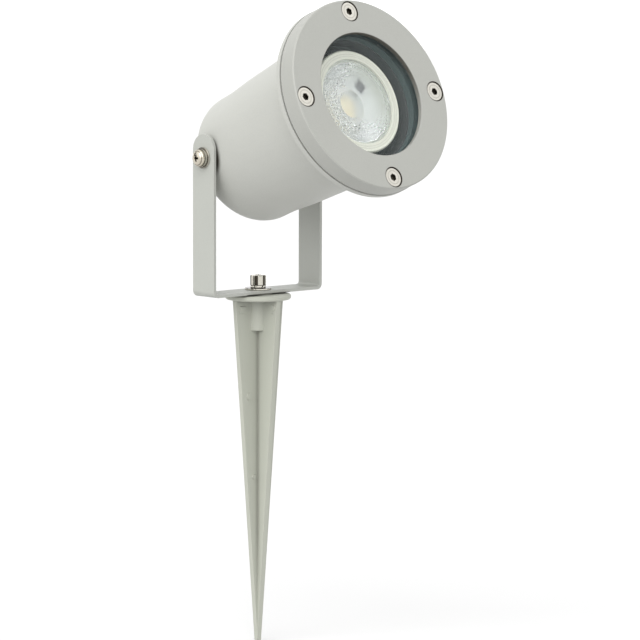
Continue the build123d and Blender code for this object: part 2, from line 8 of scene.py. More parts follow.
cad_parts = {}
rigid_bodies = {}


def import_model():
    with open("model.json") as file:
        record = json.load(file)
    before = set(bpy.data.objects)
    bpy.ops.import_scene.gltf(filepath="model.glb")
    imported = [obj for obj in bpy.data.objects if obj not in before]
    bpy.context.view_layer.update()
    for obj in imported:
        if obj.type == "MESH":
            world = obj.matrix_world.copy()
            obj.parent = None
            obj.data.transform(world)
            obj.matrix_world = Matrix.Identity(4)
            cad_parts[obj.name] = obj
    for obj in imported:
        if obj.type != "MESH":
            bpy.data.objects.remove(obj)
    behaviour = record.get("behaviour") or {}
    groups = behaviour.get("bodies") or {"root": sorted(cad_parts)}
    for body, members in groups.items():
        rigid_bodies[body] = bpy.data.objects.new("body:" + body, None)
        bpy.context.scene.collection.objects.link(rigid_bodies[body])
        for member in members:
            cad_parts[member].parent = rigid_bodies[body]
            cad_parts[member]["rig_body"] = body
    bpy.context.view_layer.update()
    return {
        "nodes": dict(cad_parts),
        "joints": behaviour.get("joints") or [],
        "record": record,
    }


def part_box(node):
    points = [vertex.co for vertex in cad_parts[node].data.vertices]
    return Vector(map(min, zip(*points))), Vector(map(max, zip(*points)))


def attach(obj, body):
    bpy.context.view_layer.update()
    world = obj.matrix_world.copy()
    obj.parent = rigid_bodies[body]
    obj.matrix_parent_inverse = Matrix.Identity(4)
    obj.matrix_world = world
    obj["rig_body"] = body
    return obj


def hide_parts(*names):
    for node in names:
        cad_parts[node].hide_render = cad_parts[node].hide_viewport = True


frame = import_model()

# Ground spike: one moulding of filled nylon, with a round flange, a screw boss and crossed ribs that taper to
# a tip. Its edges are a little round from the mould, its faces show fine grain and faint flow lines down the
# ribs, and round and square marks are left on the ribs where the mould's pins pushed it out.
MM = 0.001
nodes = frame["nodes"]
spike_light = (0.385, 0.395, 0.342, 1)
spike_dark = (0.338, 0.347, 0.299, 1)
spike_roughness = 0.5
spike_edge = 0.35 * MM
edge_angle = radians(32)
crease_angle = radians(35)
flat_angle = radians(0.4)
merge_distance = 0.002 * MM
# The dark colour that masks blend in: painted shade in corners, seams, gaps and recesses, painted dark
# reflections on bright metal, and fine moulded and turned lines.
darkening_colour = (0.030, 0.024, 0.016, 1)
# A fade is the stretch over which a mask changes, here the painted shade in the corners between the ribs,
# outwards from the axis and up along the ribs.
corner_fade = (1.8 * MM, 3.6 * MM)
rib_fade = (-150 * MM, -105 * MM)
corner_share = 0.32
# Each mark: millimetres out from the axis, down from the soil line and in radius, and its number of sides.
left_rib_marks = ((10.9, 4.5, 2.4, 4), (6.9, 46.6, 1.7, 24), (3.8, 85.7, 1.2, 24))
front_rib_marks = ((12.4, 3.4, 1.5, 24), (11.6, 6.4, 0.5, 12))
rib_face = 1.25 * MM
mark_height = 0.45 * MM
mark_rim = 0.2 * MM
mark_turn = tau / 8


class Wire:
    """An output socket of a node tree; arithmetic on it adds Math nodes."""

    def __init__(self, tree, socket):
        self.tree = tree
        self.socket = socket

    def _math(self, operation, left, right):
        return self.tree.node("ShaderNodeMath", {"operation": operation}, {0: left, 1: right})

    def __add__(self, other):
        return self._math("ADD", self, other)

    __radd__ = __add__

    def __mul__(self, other):
        return self._math("MULTIPLY", self, other)

    __rmul__ = __mul__

    def __sub__(self, other):
        return self._math("SUBTRACT", self, other)

    def __rsub__(self, other):
        return self._math("SUBTRACT", other, self)

    def __truediv__(self, other):
        return self._math("DIVIDE", self, other)

    def __rtruediv__(self, other):
        return self._math("DIVIDE", other, self)

    def __abs__(self):
        return self._math("ABSOLUTE", self, 0.0)


class Tree:
    """A node tree with one method that adds any node, and a few short words for the usual ones."""

    def __init__(self, graph):
        self.nodes = graph.nodes
        self.links = graph.links

    def node(self, kind, settings=None, sockets=None, out=0):
        """Add a node: settings first, then values or links for its sockets; returns one output."""
        made = self.nodes.new(kind)
        for name, value in (settings or {}).items():
            setattr(made, name, value)
        for name, value in (sockets or {}).items():
            self.join(value, made.inputs[name])
        return Wire(self, made.outputs[out])

    def join(self, value, socket):
        if isinstance(value, Wire):
            self.links.new(value.socket, socket)
        else:
            socket.default_value = value

    def blend(self, low, high, share):
        """A colour between two others."""
        return self.node("ShaderNodeMix", {"data_type": "RGBA", "clamp_factor": True},
                         {0: share, 6: low, 7: high}, 2)

    def ramp(self, value, low, high):
        """Smooth step from 0 at one value to 1 at another."""
        return self.node("ShaderNodeMapRange", {"interpolation_type": "SMOOTHSTEP"},
                         {0: value, 1: low, 2: high})

    def fall(self, value, low, high):
        """Smooth step from 1 at one value down to 0 at another."""
        return 1 - self.ramp(value, low, high)

    def part(self, vector, axis):
        """One coordinate of a vector, by its letter."""
        return self.node("ShaderNodeSeparateXYZ", {}, {"Vector": vector}, axis)

    def reach(self, vector, keep=(1, 1, 0)):
        """Distance from an axis: the length of a vector without its part along that axis."""
        across = self.node("ShaderNodeVectorMath", {"operation": "MULTIPLY"}, {0: vector, 1: keep})
        return self.node("ShaderNodeVectorMath", {"operation": "LENGTH"}, {0: across}, "Value")


class Finish(Tree):
    """A material made round one Principled shader; constants go straight to the shader's own sockets."""

    def __init__(self, name, constants):
        self.material = bpy.data.materials.new(name)
        self.material.use_nodes = True
        super().__init__(self.material.node_tree)
        self.shader = self.nodes["Principled BSDF"]
        for socket, value in constants.items():
            self.shader.inputs[socket].default_value = value
        self.place = self.node("ShaderNodeTexCoord", out="Object")

    def feed(self, socket, value):
        self.join(value, self.shader.inputs[socket])

    def grain(self, size, detail=2, stretch=(1, 1, 1), seed=0):
        """Noise from 0 to 1 whose features are about one size across, in metres."""
        scaled = self.node("ShaderNodeMapping", {},
                           {"Vector": self.place, "Scale": stretch, "Location": (seed, seed, seed)})
        return self.node("ShaderNodeTexNoise", {}, {"Vector": scaled, "Scale": 1 / size, "Detail": detail})

    def relief(self, height, depth, strength):
        bump = self.node("ShaderNodeBump", {}, {"Height": height, "Distance": depth, "Strength": strength})
        self.feed("Normal", bump)


def new_mesh(name, corners, faces):
    mesh = bpy.data.meshes.new(name)
    mesh.from_pydata(corners, [], faces)
    mesh.shade_smooth()
    return mesh


def new_piece(name, mesh):
    piece = bpy.data.objects.new(name, mesh)
    bpy.context.scene.collection.objects.link(piece)
    return piece


def keep_mesh(piece):
    """Turn a piece with modifiers into a plain mesh."""
    bpy.context.view_layer.update()
    graph = bpy.context.evaluated_depsgraph_get()
    made = bpy.data.meshes.new_from_object(piece.evaluated_get(graph))
    piece.modifiers.clear()
    piece.data = made


def round_edges(piece, width, steps=3):
    """Round every sharp edge of a piece by a small width."""
    bevel = piece.modifiers.new("edge", "BEVEL")
    bevel.width = width
    bevel.segments = steps
    bevel.limit_method = "ANGLE"
    bevel.angle_limit = edge_angle
    piece.modifiers.new("faces", "WEIGHTED_NORMAL")
    keep_mesh(piece)


def stand_in(piece, material, node, hide=True):
    """Give a new piece its material and a node's body, and hide the node if it takes its place."""
    piece.data.materials.clear()
    piece.data.materials.append(material)
    if hide:
        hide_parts(node)
    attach(piece, nodes[node]["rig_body"])


def softened(node, name, width, material):
    """A copy of a CAD node with merged corners and edges rounded by a width, standing in for the node."""
    solid = bmesh.new()
    solid.from_mesh(nodes[node].data)
    bmesh.ops.remove_doubles(solid, verts=solid.verts, dist=merge_distance)
    bmesh.ops.dissolve_limit(solid, angle_limit=flat_angle, verts=solid.verts, edges=solid.edges)
    solid.verts.index_update()
    corners = [corner.co.copy() for corner in solid.verts]
    faces = [[corner.index for corner in face.verts] for face in solid.faces]
    solid.free()
    piece = new_piece(name, new_mesh(name, corners, faces))
    if width:
        round_edges(piece, width)
    stand_in(piece, material, node)
    return piece


def lathe(outline, sides, turn=0.0):
    """Corners and faces of a closed turned shape; its outline runs as (radius, height) from pole to pole."""
    corners, rings, faces = [], [], []
    for radius, height in outline:
        if radius == 0:
            rings.append([len(corners)] * sides)
            corners.append((0, 0, height))
        else:
            rings.append(list(range(len(corners), len(corners) + sides)))
            angles = [turn + tau * i / sides for i in range(sides)]
            corners += [(radius * cos(angle), radius * sin(angle), height) for angle in angles]
    for lower, upper in zip(rings, rings[1:]):
        for i in range(sides):
            k = (i + 1) % sides
            faces.append(list(dict.fromkeys([lower[i], lower[k], upper[k], upper[i]])))
    return corners, faces


def joined(name, meshes):
    """One piece from several meshes, each given with the matrix that places it."""
    whole = bmesh.new()
    for mesh, matrix in meshes:
        mesh.transform(matrix)
        whole.from_mesh(mesh)
    piece = new_piece(name, new_mesh(name, [], []))
    whole.to_mesh(piece.data)
    whole.free()
    piece.data.shade_smooth()
    return piece


def moulded(name, light, dark, roughness, grain_size=0.5 * MM, glow=0.0, lit=None, darkening=None, patch=None):
    """Moulded plastic with clouds of colour, fine grain and flow lines along Z.

    Masks say where it glows and where it is darkened, by painted shade or moulded lines; a patch is another
    colour with the mask of its place.
    """
    plastic = Finish(name, {"Specular IOR Level": 0.4, "Emission Strength": glow})
    grain = plastic.grain(grain_size)
    clouds = plastic.grain(14 * MM, detail=3)
    flow = plastic.grain(3 * MM, detail=3, stretch=(1, 1, 0.06), seed=4)
    colour = plastic.blend(dark, light, 0.25 * grain + 0.4 * clouds + 0.35 * flow)
    if patch:
        patch_colour, patch_mask = patch
        colour = plastic.blend(colour, patch_colour, patch_mask(plastic))
    plastic.feed("Base Color", plastic.blend(colour, darkening_colour, darkening(plastic)) if darkening else colour)
    plastic.feed("Emission Color", plastic.blend((0, 0, 0, 1), colour, lit(plastic)) if lit else colour)
    plastic.feed("Roughness", roughness - 0.06 + 0.12 * grain)
    plastic.relief(grain + 0.6 * flow, depth=0.03 * MM, strength=0.5)
    return plastic.material


def mark_mesh(radius, sides):
    """A low stud with a sloping rim, round or square, standing on the XY plane."""
    outline = [(0, -mark_height), (radius, -mark_height), (radius, 0),
               (radius - mark_rim, mark_height), (0, mark_height)]
    return new_mesh("mark", *lathe(outline, sides, mark_turn))


def corner_shade(finish):
    """Painted shade in the corners between the ribs, gone where the ribs get thin."""
    corner = finish.fall(finish.reach(finish.place), *corner_fade)
    return corner_share * corner * finish.ramp(finish.part(finish.place, "Z"), *rib_fade)


spike_nylon = moulded("spike_nylon", spike_light, spike_dark, spike_roughness, darkening=corner_shade)
softened("ground_spike", "spike_moulding", spike_edge, spike_nylon)
facing_front = Matrix.Rotation(tau / 4, 4, "X")
facing_left = Matrix.Rotation(-tau / 4, 4, "Z") @ facing_front
marks = []
for out, down, radius, sides in left_rib_marks:
    place = Matrix.Translation((-out * MM, -rib_face, -down * MM))
    marks.append((mark_mesh(radius * MM, sides), place @ facing_front))
for out, down, radius, sides in front_rib_marks:
    place = Matrix.Translation((-rib_face, -out * MM, -down * MM))
    marks.append((mark_mesh(radius * MM, sides), place @ facing_left))
mould_marks = joined("mould_marks", marks)
mould_marks.data.set_sharp_from_angle(angle=crease_angle)
stand_in(mould_marks, spike_nylon, "ground_spike", hide=False)

# U bracket: steel strip with rounded ends, bent up at both sides and coated in fine grey powder.
# The screw in its foot holds it to the spike, and the two side screws hold the head.
bracket_light = (0.375, 0.383, 0.353, 1)
bracket_dark = (0.319, 0.327, 0.301, 1)
coat_roughness = 0.5
sheet_edge = 0.25 * MM
# The painted shadow under the strip fades upwards, and outwards where the strip leaves the flange.
under_fade = (0.216 * MM, 0.36 * MM)
flange_fade = (15.2 * MM, 16.0 * MM)
under_share = 0.9


def powder_coat(name, light, dark, darkening):
    """Fine powder coat: speckled grain, a slight orange peel, faint clouds of colour, and painted shade where
    a mask says so.
    """
    coat = Finish(name, {"Specular IOR Level": 0.45})
    speckle = coat.grain(0.45 * MM, detail=3)
    peel = coat.grain(1.3 * MM, seed=3)
    clouds = coat.grain(22 * MM)
    colour = coat.blend(dark, light, 1.1 * speckle + 0.3 * clouds - 0.2)
    coat.feed("Base Color", coat.blend(colour, darkening_colour, darkening(coat)))
    coat.feed("Roughness", coat_roughness - 0.08 + 0.16 * speckle)
    coat.relief(speckle + 0.8 * peel, depth=0.05 * MM, strength=0.6)
    return coat.material


def strip_shadow(finish):
    """Painted shadow: a dark line along the strip's lower edge, where it lies on the spike's flange."""
    height = finish.part(finish.place, "Z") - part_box("u_bracket")[0].z
    on_flange = finish.fall(finish.reach(finish.place), *flange_fade)
    return under_share * finish.fall(height, *under_fade) * on_flange


bracket_coat = powder_coat("bracket_coat", bracket_light, bracket_dark, strip_shadow)
softened("u_bracket", "bracket_strip", sheet_edge, bracket_coat)

# Base screw: a bright-plated socket-head screw with a split washer and a flat washer.
# It clamps the bracket's foot to the spike's flange.
plate_light = (0.84, 0.81, 0.72, 1)
plate_dark = (0.42, 0.40, 0.35, 1)
foot_roughness = 0.16
plate_edge = 0.12 * MM
seam_fade = (0.078 * MM, 0.234 * MM)
# Painted reflections: dark bands and lines stand round the side of the head; here their number, the bearing
# of one, and the fade of a cosine that is 1 at the middle of each.
head_side_fade = (3.5 * MM, 3.605 * MM)
head_foot = 0.13 * MM
band_count = 6
band_bearing = radians(-143)
band_fade = (0.10, 0.60)
band_share = 0.96
line_count = 3
line_bearing = radians(-166)
line_fade = (0.965, 0.985)
line_share = 0.8


def plated(name, light, dark, roughness, darkening=None):
    """Bright plated steel with fine turning marks, a few duller patches, and painted shade, painted dark
    reflections and turned lines where masks say so.
    """
    plate = Finish(name, {"Metallic": 1.0})
    turning = plate.grain(0.25 * MM, stretch=(1, 1, 6), seed=2)
    patches = plate.grain(1.6 * MM, detail=3)
    colour = plate.blend(dark, light, 0.4 * turning + 0.6 * patches)
    plate.feed("Base Color", plate.blend(colour, darkening_colour, darkening(plate)) if darkening else colour)
    plate.feed("Roughness", roughness - 0.05 + 0.14 * patches)
    plate.relief(turning, depth=0.008 * MM, strength=0.5)
    return plate.material


def seam_shade(finish, axis, places):
    """Painted shade: thin dark lines where stacked pieces meet, at places along an axis, to both sides of the
    origin.
    """
    along = abs(finish.part(finish.place, axis))
    return sum(finish.fall(abs(along - place), *seam_fade) for place in places)


def foot_shade_and_reflections(finish):
    """Painted shade in the seams of the base screw's stack, and painted reflections as dark upright bands and
    lines on the side of its head.
    """
    across, ahead, height = (finish.part(finish.place, axis) for axis in "XYZ")
    bearing = finish.node("ShaderNodeMath", {"operation": "ARCTAN2"}, {0: ahead, 1: across})
    bands = finish.node("ShaderNodeMath", {"operation": "COSINE"}, {0: band_count * (bearing - band_bearing)})
    lines = finish.node("ShaderNodeMath", {"operation": "COSINE"}, {0: line_count * (bearing - line_bearing)})
    upright = band_share * finish.ramp(bands, *band_fade) + line_share * finish.ramp(lines, *line_fade)
    stack_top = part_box("base_spring_washer")[1].z
    on_head = finish.ramp(height, stack_top, stack_top + head_foot)
    on_side = finish.ramp(finish.reach(finish.place), *head_side_fade)
    washer_faces = [corner.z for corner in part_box("base_flat_washer")]
    return on_head * on_side * upright + seam_shade(finish, "Z", washer_faces + [stack_top])


foot_plate = plated("foot_plate", plate_light, plate_dark, foot_roughness, foot_shade_and_reflections)
for node in ("base_bolt", "base_spring_washer", "base_flat_washer"):
    softened(node, node.replace("base_", "foot_"), plate_edge, foot_plate)

# Housing: die-cast aluminium with a tapered front, a soft shoulder and a rounded rear, coated like the
# bracket. Its thin rim carries the front ring, and its side bosses take the pivot screws.
housing_light = (0.410, 0.414, 0.384, 1)
housing_dark = (0.349, 0.353, 0.327, 1)
casting_edge = 0.3 * MM
# The painted shade in the gaps beside the arms fades away from the pivot's line, and inwards from the
# housing's sides.
gap_fade = (7.0 * MM, 10.2 * MM)
gap_side_fade = (26.88 * MM, 28.0 * MM)
pivot = Vector(next(joint["pos_m"] for joint in frame["joints"] if joint["name"] == "head_tilt"))


def from_pivot(finish):
    """Distance from the line of the pivot screws, and how far out along it."""
    offset = finish.node("ShaderNodeVectorMath", {"operation": "SUBTRACT"}, {0: finish.place, 1: pivot})
    return finish.reach(offset, keep=(0, 1, 1)), abs(finish.part(offset, "X"))


def gap_shade(finish):
    """Painted shade in the narrow gaps between the housing's sides and the bracket's arms."""
    radius, outward = from_pivot(finish)
    return finish.ramp(outward, *gap_side_fade) * finish.fall(radius, *gap_fade)


housing_coat = powder_coat("housing_coat", housing_light, housing_dark, gap_shade)
softened("lamp_housing", "housing_casting", casting_edge, housing_coat)

# Cable gland: black nylon body and nut with a rubber sleeve, in the rear wall of the housing.
# A round cable is pushed through it and gripped by the nut.
gland_light = (0.060, 0.060, 0.062, 1)
gland_dark = (0.035, 0.035, 0.037, 1)
gland_roughness = 0.42
gland_edge = 0.3 * MM
rubber_light = (0.030, 0.032, 0.033, 1)
rubber_dark = (0.014, 0.015, 0.016, 1)


def rubber(name, light, dark):
    """Matt rubber with a dusty bloom."""
    soft = Finish(name, {"Specular IOR Level": 0.3})
    bloom = soft.grain(5 * MM, detail=4)
    grain = soft.grain(0.3 * MM)
    soft.feed("Base Color", soft.blend(dark, light, 0.7 * bloom + 0.3 * grain))
    soft.feed("Roughness", 0.62 + 0.2 * bloom)
    soft.relief(grain, depth=0.02 * MM, strength=0.5)
    return soft.material


def dress(material, *names):
    """Give a material to CAD nodes whose shape stays as it is."""
    for name in names:
        nodes[name].data.materials.clear()
        nodes[name].data.materials.append(material)


gland_nylon = moulded("gland_nylon", gland_light, gland_dark, gland_roughness)
softened("cable_gland", "gland_body", gland_edge, gland_nylon)
softened("gland_nut", "gland_cap", gland_edge, gland_nylon)
black_rubber = rubber("black_rubber", rubber_light, rubber_dark)
dress(black_rubber, "gland_seal")

# Wiring inside the rear of the housing: terminal block, earth screw and two sleeved leads.
# They are sealed in, and show only when the housing is opened.
terminal_light = (0.72, 0.72, 0.67, 1)
terminal_dark = (0.64, 0.64, 0.60, 1)
terminal_roughness = 0.45
sleeve_light = (0.74, 0.73, 0.68, 1)
sleeve_dark = (0.66, 0.65, 0.60, 1)
sleeve_roughness = 0.6
zinc_light = (0.66, 0.67, 0.68, 1)
zinc_dark = (0.50, 0.51, 0.53, 1)
zinc_roughness = 0.34
brass_light = (0.76, 0.58, 0.27, 1)
brass_dark = (0.60, 0.44, 0.19, 1)
brass_roughness = 0.3
zinc_plate = plated("zinc_plate", zinc_light, zinc_dark, zinc_roughness)
dress(moulded("terminal_plastic", terminal_light, terminal_dark, terminal_roughness), "terminal_block")
dress(moulded("lead_sleeve", sleeve_light, sleeve_dark, sleeve_roughness), "holder_leads")
dress(zinc_plate, "terminal_screws")
dress(plated("plain_brass", brass_light, brass_dark, brass_roughness), "earth_screw")

# Lampholder: unglazed ceramic on a steel bridge, which two screws hold to posts in the housing.
# It takes the lamp's two pins in its slots.
ceramic_light = (0.80, 0.78, 0.72, 1)
ceramic_dark = (0.70, 0.68, 0.62, 1)
ceramic_roughness = 0.7
ceramic_grain = 0.3 * MM
white_ceramic = moulded("white_ceramic", ceramic_light, ceramic_dark, ceramic_roughness, ceramic_grain)
dress(white_ceramic, "lampholder")
dress(zinc_plate, "holder_bridge", "holder_screws", "bridge_screws")

# Lamp: a bought-in lamp with a cream plastic body, a white board with a yellow light source, and a clear
# lens with rings of small domes moulded round its middle. The lens is less polished on its rear side, and
# frosted in the well that fits over the light source.
cream_light = (0.713, 0.729, 0.640, 1)
cream_dark = (0.668, 0.684, 0.588, 1)
cream_roughness = 0.32
board_light = (0.90, 0.90, 0.88, 1)
board_dark = (0.84, 0.84, 0.81, 1)
board_roughness = 0.4
phosphor_light = (0.93, 0.81, 0.56, 1)
phosphor_dark = (0.86, 0.72, 0.46, 1)
phosphor_roughness = 0.5
phosphor_grain = 0.2 * MM
chip_light = (0.09, 0.09, 0.10, 1)
chip_dark = (0.04, 0.04, 0.05, 1)
chip_roughness = 0.4
pin_roughness = 0.3
lens_light = (0.96, 0.985, 0.99, 1)
lens_dark = (0.90, 0.94, 0.95, 1)
lens_roughness = 0.11
# The renderer lets no direct light through the lens, so what lies behind it glows faintly instead.
hollow_glow = 0.22
board_glow = 0.17
phosphor_glow = 0.36
# Fades run outwards from the head's axis, and depths backwards from the front of the lens. The well stands
# over the board by its height, and its mask ends at a multiple of that place.
hollow_fade = (20.8 * MM, 21.008 * MM)
hollow_depth = (0.2 * MM, 0.6 * MM)
rim_lines = (22.0 * MM, 23.1 * MM)
rim_line_fade = (0.13 * MM, 0.26 * MM)
rim_line_share = 0.16
rim_inner_fade = (23.1 * MM, 23.36 * MM)
rim_inner_share = 0.10
# The painted yellow patch round the light source fades out over this stretch.
source_image_fade = (5.0 * MM, 7.4 * MM)
well_fade = (7.0 * MM, 7.35 * MM)
well_height = 5.4 * MM
well_end = 1.02
well_frost = 0.14
rear_depth = (1.6 * MM, 2.4 * MM)
rear_dullness = 0.16
dome_radius = 0.9 * MM
dome_height = 0.4 * MM
dome_root = 0.1 * MM
dome_steps = (0.0, 0.5, 1.05)
dome_sides = 8
dome_spacing = 1.95 * MM
dome_rings = (12.6 * MM, 14.55 * MM, 16.5 * MM, 18.45 * MM)

# The head's own frame: the gland's mount points straight back along the head's axis.
mounts = {mount["name"]: mount for mount in frame["record"]["mounts"]}
forward = -Vector(mounts["cable_entry"]["axis"]).normalized()
sideways = Vector((1, 0, 0))
upward = forward.cross(sideways)
head_place = Matrix.Translation(pivot) @ Matrix((sideways, upward, forward)).transposed().to_4x4()


def front_of(node):
    """Foremost place of a node along the head's axis, from the pivot."""
    turned = head_place.inverted()
    return max((turned @ point.co).z for point in nodes[node].data.vertices)


def in_head(finish):
    """Place in the head's own frame: across, up, and forward from the pivot."""
    return finish.node("ShaderNodeMapping", {"vector_type": "TEXTURE"},
                       {"Vector": finish.place, "Location": head_place.to_translation(),
                        "Rotation": head_place.to_euler()})


def lens_depth(finish):
    """Depth behind the front of the lens, along the head's axis."""
    return front_of("lamp_lens") - finish.part(in_head(finish), "Z")


def behind_lens(finish):
    """The hollow behind the lens, which only gets light through it."""
    radius = finish.reach(in_head(finish))
    return finish.ramp(lens_depth(finish), *hollow_depth) * finish.fall(radius, *hollow_fade)


def rim_grime(finish):
    """Fine moulded lines round the lamp's rim, and its duller inner part."""
    radius = finish.reach(in_head(finish))
    lines = sum(finish.fall(abs(radius - line), *rim_line_fade) for line in rim_lines)
    return rim_line_share * lines + rim_inner_share * finish.fall(radius, *rim_inner_fade)


def painted_source_image(finish):
    """Painted light: a yellow patch round the light source, larger than it, that glows with the board and
    stands in for the light source as a thick lens shows it enlarged.
    """
    return finish.fall(finish.reach(in_head(finish)), *source_image_fade)


def clear_moulding(name, light, dark, roughness):
    """Clear plastic with a slight haze, its rear side less polished and frosted in the well."""
    clear = Finish(name, {"Transmission Weight": 0.92, "IOR": 1.49})
    haze = clear.grain(1.5 * MM, detail=3)
    local = in_head(clear)
    well_top = front_of("led_board") + well_height
    below_top = clear.fall(clear.part(local, "Z"), well_top, well_end * well_top)
    well = below_top * clear.fall(clear.reach(local), *well_fade)
    rear = clear.ramp(lens_depth(clear), *rear_depth)
    clear.feed("Base Color", clear.blend(dark, light, haze))
    clear.feed("Roughness", roughness + 0.05 * haze + rear_dullness * rear + well_frost * well)
    return clear.material


def carved(piece, tool, operation="DIFFERENCE"):
    """Cut one piece with another or join them, and drop the second one."""
    cut = piece.modifiers.new("cut", "BOOLEAN")
    cut.object = tool
    cut.operation = operation
    cut.solver = "EXACT"
    keep_mesh(piece)
    bpy.data.objects.remove(tool)


def ring_of(piece, count, radius, material):
    """Repeat a piece's mesh round the local Z axis with a node tree, and keep the result as a plain mesh."""
    group = bpy.data.node_groups.new(f"{piece.name}_ring", "GeometryNodeTree")
    inputs = {}
    for name, kind in (("Piece", "Geometry"), ("Count", "Int"), ("Radius", "Float")):
        inputs[name] = group.interface.new_socket(name, in_out="INPUT", socket_type=f"NodeSocket{kind}")
    group.interface.new_socket("Ring", in_out="OUTPUT", socket_type="NodeSocketGeometry")
    ring = Tree(group)
    shape, number, distance = (ring.node("NodeGroupInput", out=name) for name in inputs)
    outward = ring.node("ShaderNodeCombineXYZ", {}, {"X": distance})
    moved = ring.node("GeometryNodeTransform", {}, {"Geometry": shape, "Translation": outward})
    points = ring.node("GeometryNodePoints", {}, {"Count": number})
    turn = ring.node("ShaderNodeCombineXYZ", {}, {"Z": ring.node("GeometryNodeInputIndex") / number * tau})
    copies = ring.node("GeometryNodeInstanceOnPoints", {},
                       {"Points": points, "Instance": moved, "Rotation": turn})
    real = ring.node("GeometryNodeRealizeInstances", {}, {"Geometry": copies})
    coated = ring.node("GeometryNodeSetMaterial", {}, {"Geometry": real, "Material": material})
    ring.join(coated, ring.nodes.new("NodeGroupOutput").inputs["Ring"])
    repeat = piece.modifiers.new("ring", "NODES")
    repeat.node_group = group
    repeat[inputs["Count"].identifier] = count
    repeat[inputs["Radius"].identifier] = radius
    keep_mesh(piece)


lamp_cream = moulded("lamp_cream", cream_light, cream_dark, cream_roughness,
                     glow=hollow_glow, lit=behind_lens, darkening=rim_grime)
board_mask = moulded("board_mask", board_light, board_dark, board_roughness,
                     glow=board_glow, patch=(phosphor_light, painted_source_image))
phosphor = moulded("phosphor", phosphor_light, phosphor_dark, phosphor_roughness, phosphor_grain,
                   glow=phosphor_glow)
dress(lamp_cream, "lamp_shell")
dress(board_mask, "led_board")
dress(phosphor, "led_chip")
dress(moulded("component_black", chip_light, chip_dark, chip_roughness), "board_components")
dress(plated("pin_nickel", plate_light, plate_dark, pin_roughness), "lamp_pins")

lens_clear = clear_moulding("lens_clear", lens_light, lens_dark, lens_roughness)
on_lens = head_place @ Matrix.Translation((0, 0, front_of("lamp_lens")))
dome_arc = [(dome_radius * cos(step), dome_height * sin(step)) for step in dome_steps]
dome_outline = [(0, -dome_root), (dome_radius, -dome_root), *dome_arc, (0, dome_height)]
domes = []
for ring_radius in dome_rings:
    dome = new_piece("dome", new_mesh("dome", *lathe(dome_outline, dome_sides)))
    ring_of(dome, round(tau * ring_radius / dome_spacing), ring_radius, lens_clear)
    domes.append((dome.data, on_lens))
    bpy.data.objects.remove(dome)
lens = softened("lamp_lens", "lens_moulding", 0, lens_clear)
carved(lens, joined("lens_domes", domes), "UNION")
lens.data.set_sharp_from_angle(angle=crease_angle)

# Dark collar, glass seal and flange gasket: a moulded sleeve round the lamp and two rubber rings.
# They fill the space between the lamp and the glass and keep the water out.
collar_light = (0.064, 0.067, 0.068, 1)
collar_dark = (0.013, 0.014, 0.016, 1)
collar_wall_fade = (28.6 * MM, 29.0 * MM)
collar_ridge = 1.6 * MM
seal_light = (0.072, 0.098, 0.098, 1)
seal_dark = (0.049, 0.072, 0.072, 1)


def ridged(name, light, dark):
    """Dark plastic with shallow turned ridges round the head's axis, paler on the wall at its outer edge."""
    dull = Finish(name, {"Specular IOR Level": 0.25})
    local = in_head(dull)
    radius = dull.reach(local)
    slope = (dull.part(local, "Z") + radius) * (tau / collar_ridge)
    wave = dull.node("ShaderNodeMath", {"operation": "SINE"}, {0: slope})
    grain = dull.grain(0.4 * MM)
    wall = dull.ramp(radius, *collar_wall_fade)
    dull.feed("Base Color", dull.blend(dark, light, 0.08 + 0.6 * wall + 0.14 * wave + 0.2 * grain))
    dull.feed("Roughness", 0.55 + 0.16 * grain)
    dull.relief(0.5 * wave + 0.3 * grain, depth=0.06 * MM, strength=0.6)
    return dull.material


dress(ridged("collar_plastic", collar_light, collar_dark), "glare_collar")
dress(rubber("seal_rubber", seal_light, seal_dark), "glass_seal")
dress(black_rubber, "flange_gasket")

# Front glass: a clear tempered disc, a little green.
# It lies behind the lip of the front ring, in its rubber seal.
glass_tint = (0.82, 0.93, 0.91, 1)
glass_film = (0.72, 0.86, 0.84, 1)
glass = Finish("tempered_glass", {"Specular IOR Level": 0.8, "IOR": 1.5})
glass_haze = glass.grain(8 * MM, detail=3)
glass.feed("Base Color", glass.blend(glass_film, glass_tint, glass_haze))
glass.feed("Roughness", 0.02 + 0.03 * glass_haze)
glass.feed("Alpha", 0.018 + 0.014 * glass_haze)
dress(glass.material, "front_glass")

# Front ring: die-cast and coated like the housing, with four countersunk screws through it into the rim.
# The screws are plain nickel-coloured steel with a hexagon socket.
# The ring's coat is the housing's, set darker as painted shade, for its front face gets less light.
ring_light = (0.344, 0.347, 0.322, 1)
ring_dark = (0.292, 0.296, 0.273, 1)
ring_edge = 0.35 * MM
screw_light = (0.80, 0.78, 0.71, 1)
screw_dark = (0.56, 0.54, 0.48, 1)
screw_roughness = 0.28
screw_edge = 0.1 * MM
screw_circle = 40.4 * MM
# On the ring, painted shade: a dark line round each screw, and the lip's inner wall, darker at its top than
# at its bottom.
screw_radius = 4.7 * MM
joint_fade = (0.15 * MM, 0.45 * MM)
lip_fade = (29.905 * MM, 30.15 * MM)
lip_top_fade = (-15 * MM, 15 * MM)
lip_share = 0.25
lip_top_share = 0.6
# On the screws: painted shade in the socket from its mouth to its floor and at the head's edge, and a turned
# line on the head.
socket_fade = (1.995 * MM, 2.1 * MM)
socket_mouth = (0.1 * MM, 0.6 * MM)
socket_floor = (3.0 * MM, 3.6 * MM)
socket_share = 0.88
turned_radius = 3.196 * MM
turned_fade = (0.141 * MM, 0.423 * MM)
turned_share = 0.22
head_edge_fade = (4.28 * MM, 4.58 * MM)


